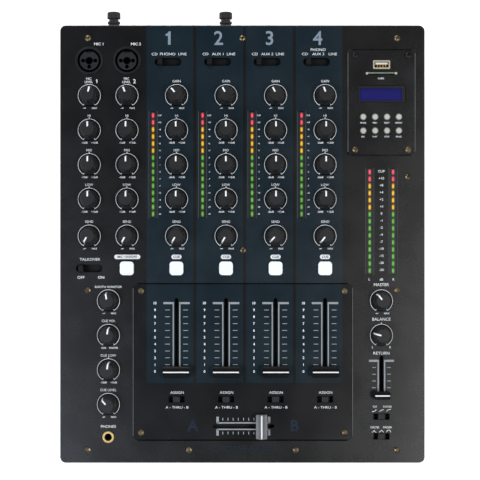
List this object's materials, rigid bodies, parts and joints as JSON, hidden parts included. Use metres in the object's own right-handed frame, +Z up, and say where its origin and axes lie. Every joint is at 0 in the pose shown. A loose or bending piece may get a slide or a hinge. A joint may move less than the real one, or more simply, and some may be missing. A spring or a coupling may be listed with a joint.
{
  "type": "audio mixing desk",
  "caption": "Table-top audio mixer for disc jockeys: black steel case, control panel with knobs, faders, lit buttons, lamp meters, media player, top and rear sockets.",
  "frame": {"origin": "on the table under the middle of the whole desk, ground posts included", "axes": "+Z up, +Y to the rear edge with the sockets, +X to the master side"},
  "size_m": [0.32, 0.399, 0.1066],
  "materials": {
    "black_steel": "satin black paint on folded steel",
    "black_panel": "smooth black paint, printed legends",
    "meter_plastic": "black bar with lit green, amber and red lamps",
    "display_plastic": "black housing with a dark blue glass",
    "socket_plastic": "moulded black plastic with plated contacts",
    "zinc_steel": "plated steel frames, bushings and nuts",
    "board": "green circuit board",
    "zinc_screw": "yellow zinc plate",
    "rubber": "moulded rubber",
    "black_cap": "satin black moulding",
    "grey_cap": "metallic grey moulding",
    "white_lit": "translucent white, lit from inside",
    "pale_key": "pale grey moulding"
  },
  "bodies": {
    "desk": {"base_case": "black_steel", "top_panel": "black_panel", "fader_panel": "black_panel", "player_panel": "black_panel", "level_meters": "meter_plastic", "display": "display_plastic", "panel_sockets": "socket_plastic", "control_mechanisms": "zinc_steel", "circuit_boards": "board", "screws": "zinc_screw", "rubber_feet": "rubber", "rear_sockets": "socket_plastic"},
    "mic1_level_knob": {"mic1_level_knob": "black_cap"},
    "mic1_high_knob": {"mic1_high_knob": "black_cap"},
    "mic1_mid_knob": {"mic1_mid_knob": "black_cap"},
    "mic1_low_knob": {"mic1_low_knob": "black_cap"},
    "mic1_send_knob": {"mic1_send_knob": "black_cap"},
    "mic2_level_knob": {"mic2_level_knob": "black_cap"},
    "mic2_high_knob": {"mic2_high_knob": "black_cap"},
    "mic2_mid_knob": {"mic2_mid_knob": "black_cap"},
    "mic2_low_knob": {"mic2_low_knob": "black_cap"},
    "mic2_send_knob": {"mic2_send_knob": "black_cap"},
    "ch1_gain_knob": {"ch1_gain_knob": "black_cap"},
    "ch1_high_knob": {"ch1_high_knob": "black_cap"},
    "ch1_mid_knob": {"ch1_mid_knob": "black_cap"},
    "ch1_low_knob": {"ch1_low_knob": "black_cap"},
    "ch1_send_knob": {"ch1_send_knob": "black_cap"},
    "ch2_gain_knob": {"ch2_gain_knob": "black_cap"},
    "ch2_high_knob": {"ch2_high_knob": "black_cap"},
    "ch2_mid_knob": {"ch2_mid_knob": "black_cap"},
    "ch2_low_knob": {"ch2_low_knob": "black_cap"},
    "ch2_send_knob": {"ch2_send_knob": "black_cap"},
    "ch3_gain_knob": {"ch3_gain_knob": "black_cap"},
    "ch3_high_knob": {"ch3_high_knob": "black_cap"},
    "ch3_mid_knob": {"ch3_mid_knob": "black_cap"},
    "ch3_low_knob": {"ch3_low_knob": "black_cap"},
    "ch3_send_knob": {"ch3_send_knob": "black_cap"},
    "ch4_gain_knob": {"ch4_gain_knob": "black_cap"},
    "ch4_high_knob": {"ch4_high_knob": "black_cap"},
    "ch4_mid_knob": {"ch4_mid_knob": "black_cap"},
    "ch4_low_knob": {"ch4_low_knob": "black_cap"},
    "ch4_send_knob": {"ch4_send_knob": "black_cap"},
    "booth_knob": {"booth_knob": "black_cap"},
    "cue_mix_knob": {"cue_mix_knob": "black_cap"},
    "cue_low_knob": {"cue_low_knob": "black_cap"},
    "cue_level_knob": {"cue_level_knob": "black_cap"},
    "master_knob": {"master_knob": "black_cap"},
    "balance_knob": {"balance_knob": "black_cap"},
    "ch1_fader": {"ch1_fader": "black_cap"},
    "ch2_fader": {"ch2_fader": "black_cap"},
    "ch3_fader": {"ch3_fader": "black_cap"},
    "ch4_fader": {"ch4_fader": "black_cap"},
    "cross_fader": {"cross_fader": "grey_cap"},
    "return_fader": {"return_fader": "black_cap"},
    "source_selectors": {"source_selectors": "black_cap"},
    "talkover_switch": {"talkover_switch": "black_cap"},
    "slide_switches": {"slide_switches": "black_cap"},
    "cue_buttons": {"cue_buttons": "white_lit"},
    "player_keys": {"player_keys": "pale_key"},
    "power_rocker": {"power_rocker": "black_cap"}
  },
  "joints": [
    {"name": "mic1_level_turn", "type": "hinge", "parent": "desk", "child": "mic1_level_knob", "pos_m": [-0.1344, 0.1228, 0.091], "axis": [0, 0, -1], "range_deg": [-166, 134]},
    {"name": "mic1_high_turn", "type": "hinge", "parent": "desk", "child": "mic1_high_knob", "pos_m": [-0.1344, 0.0925, 0.091], "axis": [0, 0, -1], "range_deg": [-150, 150]},
    {"name": "mic1_mid_turn", "type": "hinge", "parent": "desk", "child": "mic1_mid_knob", "pos_m": [-0.1344, 0.0622, 0.091], "axis": [0, 0, -1], "range_deg": [-150, 150]},
    {"name": "mic1_low_turn", "type": "hinge", "parent": "desk", "child": "mic1_low_knob", "pos_m": [-0.1344, 0.0319, 0.091], "axis": [0, 0, -1], "range_deg": [-150, 150]},
    {"name": "mic1_send_turn", "type": "hinge", "parent": "desk", "child": "mic1_send_knob", "pos_m": [-0.1344, -0.0005, 0.091], "axis": [0, 0, -1], "range_deg": [0, 300]},
    {"name": "mic2_level_turn", "type": "hinge", "parent": "desk", "child": "mic2_level_knob", "pos_m": [-0.1013, 0.1228, 0.091], "axis": [0, 0, -1], "range_deg": [-128, 172]},
    {"name": "mic2_high_turn", "type": "hinge", "parent": "desk", "child": "mic2_high_knob", "pos_m": [-0.1013, 0.0925, 0.091], "axis": [0, 0, -1], "range_deg": [-150, 150]},
    {"name": "mic2_mid_turn", "type": "hinge", "parent": "desk", "child": "mic2_mid_knob", "pos_m": [-0.1013, 0.0622, 0.091], "axis": [0, 0, -1], "range_deg": [-150, 150]},
    {"name": "mic2_low_turn", "type": "hinge", "parent": "desk", "child": "mic2_low_knob", "pos_m": [-0.1013, 0.0319, 0.091], "axis": [0, 0, -1], "range_deg": [-150, 150]},
    {"name": "mic2_send_turn", "type": "hinge", "parent": "desk", "child": "mic2_send_knob", "pos_m": [-0.1013, -0.0005, 0.091], "axis": [0, 0, -1], "range_deg": [0, 300]},
    {"name": "ch1_gain_turn", "type": "hinge", "parent": "desk", "child": "ch1_gain_knob", "pos_m": [-0.0578, 0.1228, 0.091], "axis": [0, 0, -1], "range_deg": [-110, 190]},
    {"name": "ch1_high_turn", "type": "hinge", "parent": "desk", "child": "ch1_high_knob", "pos_m": [-0.0578, 0.0925, 0.091], "axis": [0, 0, -1], "range_deg": [-150, 150]},
    {"name": "ch1_mid_turn", "type": "hinge", "parent": "desk", "child": "ch1_mid_knob", "pos_m": [-0.0578, 0.0622, 0.091], "axis": [0, 0, -1], "range_deg": [-150, 150]},
    {"name": "ch1_low_turn", "type": "hinge", "parent": "desk", "child": "ch1_low_knob", "pos_m": [-0.0578, 0.0319, 0.091], "axis": [0, 0, -1], "range_deg": [-150, 150]},
    {"name": "ch1_send_turn", "type": "hinge", "parent": "desk", "child": "ch1_send_knob", "pos_m": [-0.0578, -0.0005, 0.091], "axis": [0, 0, -1], "range_deg": [0, 300]},
    {"name": "ch2_gain_turn", "type": "hinge", "parent": "desk", "child": "ch2_gain_knob", "pos_m": [-0.01435, 0.1228, 0.091], "axis": [0, 0, -1], "range_deg": [-121, 179]},
    {"name": "ch2_high_turn", "type": "hinge", "parent": "desk", "child": "ch2_high_knob", "pos_m": [-0.01435, 0.0925, 0.091], "axis": [0, 0, -1], "range_deg": [-150, 150]},
    {"name": "ch2_mid_turn", "type": "hinge", "parent": "desk", "child": "ch2_mid_knob", "pos_m": [-0.01435, 0.0622, 0.091], "axis": [0, 0, -1], "range_deg": [-150, 150]},
    {"name": "ch2_low_turn", "type": "hinge", "parent": "desk", "child": "ch2_low_knob", "pos_m": [-0.01435, 0.0319, 0.091], "axis": [0, 0, -1], "range_deg": [-150, 150]},
    {"name": "ch2_send_turn", "type": "hinge", "parent": "desk", "child": "ch2_send_knob", "pos_m": [-0.01435, -0.0005, 0.091], "axis": [0, 0, -1], "range_deg": [0, 300]},
    {"name": "ch3_gain_turn", "type": "hinge", "parent": "desk", "child": "ch3_gain_knob", "pos_m": [0.0291, 0.1228, 0.091], "axis": [0, 0, -1], "range_deg": [-122, 178]},
    {"name": "ch3_high_turn", "type": "hinge", "parent": "desk", "child": "ch3_high_knob", "pos_m": [0.0291, 0.0925, 0.091], "axis": [0, 0, -1], "range_deg": [-150, 150]},
    {"name": "ch3_mid_turn", "type": "hinge", "parent": "desk", "child": "ch3_mid_knob", "pos_m": [0.0291, 0.0622, 0.091], "axis": [0, 0, -1], "range_deg": [-150, 150]},
    {"name": "ch3_low_turn", "type": "hinge", "parent": "desk", "child": "ch3_low_knob", "pos_m": [0.0291, 0.0319, 0.091], "axis": [0, 0, -1], "range_deg": [-150, 150]},
    {"name": "ch3_send_turn", "type": "hinge", "parent": "desk", "child": "ch3_send_knob", "pos_m": [0.0291, -0.0005, 0.091], "axis": [0, 0, -1], "range_deg": [-13, 287]},
    {"name": "ch4_gain_turn", "type": "hinge", "parent": "desk", "child": "ch4_gain_knob", "pos_m": [0.07255, 0.1228, 0.091], "axis": [0, 0, -1], "range_deg": [-129, 171]},
    {"name": "ch4_high_turn", "type": "hinge", "parent": "desk", "child": "ch4_high_knob", "pos_m": [0.07255, 0.0925, 0.091], "axis": [0, 0, -1], "range_deg": [-150, 150]},
    {"name": "ch4_mid_turn", "type": "hinge", "parent": "desk", "child": "ch4_mid_knob", "pos_m": [0.07255, 0.0622, 0.091], "axis": [0, 0, -1], "range_deg": [-150, 150]},
    {"name": "ch4_low_turn", "type": "hinge", "parent": "desk", "child": "ch4_low_knob", "pos_m": [0.07255, 0.0319, 0.091], "axis": [0, 0, -1], "range_deg": [-150, 150]},
    {"name": "ch4_send_turn", "type": "hinge", "parent": "desk", "child": "ch4_send_knob", "pos_m": [0.07255, -0.0005, 0.091], "axis": [0, 0, -1], "range_deg": [-8, 292]},
    {"name": "booth_turn", "type": "hinge", "parent": "desk", "child": "booth_knob", "pos_m": [-0.1176, -0.0573, 0.091], "axis": [0, 0, -1], "range_deg": [-141, 159]},
    {"name": "cue_mix_turn", "type": "hinge", "parent": "desk", "child": "cue_mix_knob", "pos_m": [-0.1176, -0.0876, 0.091], "axis": [0, 0, -1], "range_deg": [-160, 140]},
    {"name": "cue_low_turn", "type": "hinge", "parent": "desk", "child": "cue_low_knob", "pos_m": [-0.1176, -0.1179, 0.091], "axis": [0, 0, -1], "range_deg": [-159, 141]},
    {"name": "cue_level_turn", "type": "hinge", "parent": "desk", "child": "cue_level_knob", "pos_m": [-0.1176, -0.1482, 0.091], "axis": [0, 0, -1], "range_deg": [-109, 191]},
    {"name": "master_turn", "type": "hinge", "parent": "desk", "child": "master_knob", "pos_m": [0.122, -0.0573, 0.091], "axis": [0, 0, -1], "range_deg": [-112, 188]},
    {"name": "balance_turn", "type": "hinge", "parent": "desk", "child": "balance_knob", "pos_m": [0.122, -0.0876, 0.091], "axis": [0, 0, -1], "range_deg": [-75, 225]},
    {"name": "ch1_fader_slide", "type": "slide", "parent": "desk", "child": "ch1_fader", "axis": [0, 1, 0], "range_m": [0, 0.06]},
    {"name": "ch2_fader_slide", "type": "slide", "parent": "desk", "child": "ch2_fader", "axis": [0, 1, 0], "range_m": [0, 0.06]},
    {"name": "ch3_fader_slide", "type": "slide", "parent": "desk", "child": "ch3_fader", "axis": [0, 1, 0], "range_m": [0, 0.06]},
    {"name": "ch4_fader_slide", "type": "slide", "parent": "desk", "child": "ch4_fader", "axis": [0, 1, 0], "range_m": [0, 0.06]},
    {"name": "cross_fader_slide", "type": "slide", "parent": "desk", "child": "cross_fader", "axis": [1, 0, 0], "range_m": [-0.0383, 0.0067]},
    {"name": "return_fader_slide", "type": "slide", "parent": "desk", "child": "return_fader", "axis": [0, 1, 0], "range_m": [0, 0.03]},
    {"name": "source_selectors_slide", "type": "slide", "parent": "desk", "child": "source_selectors", "axis": [1, 0, 0], "range_m": [0, 0.014]},
    {"name": "talkover_switch_slide", "type": "slide", "parent": "desk", "child": "talkover_switch", "axis": [1, 0, 0], "range_m": [0, 0.014]},
    {"name": "slide_switches_slide", "type": "slide", "parent": "desk", "child": "slide_switches", "axis": [1, 0, 0], "range_m": [-0.0036, 0.0036]},
    {"name": "cue_buttons_press", "type": "slide", "parent": "desk", "child": "cue_buttons", "axis": [0, 0, -1], "range_m": [0, 0.0015], "stiffness_N_per_m": 400, "springref_m": -0.001},
    {"name": "player_keys_press", "type": "slide", "parent": "desk", "child": "player_keys", "axis": [0, 0, -1], "range_m": [0, 0.0006], "stiffness_N_per_m": 300, "springref_m": -0.001},
    {"name": "power_rocker_tilt", "type": "hinge", "parent": "desk", "child": "power_rocker", "pos_m": [0.126, 0.1785, 0.064], "axis": [1, 0, 0], "range_deg": [-24, 0]}
  ]
}
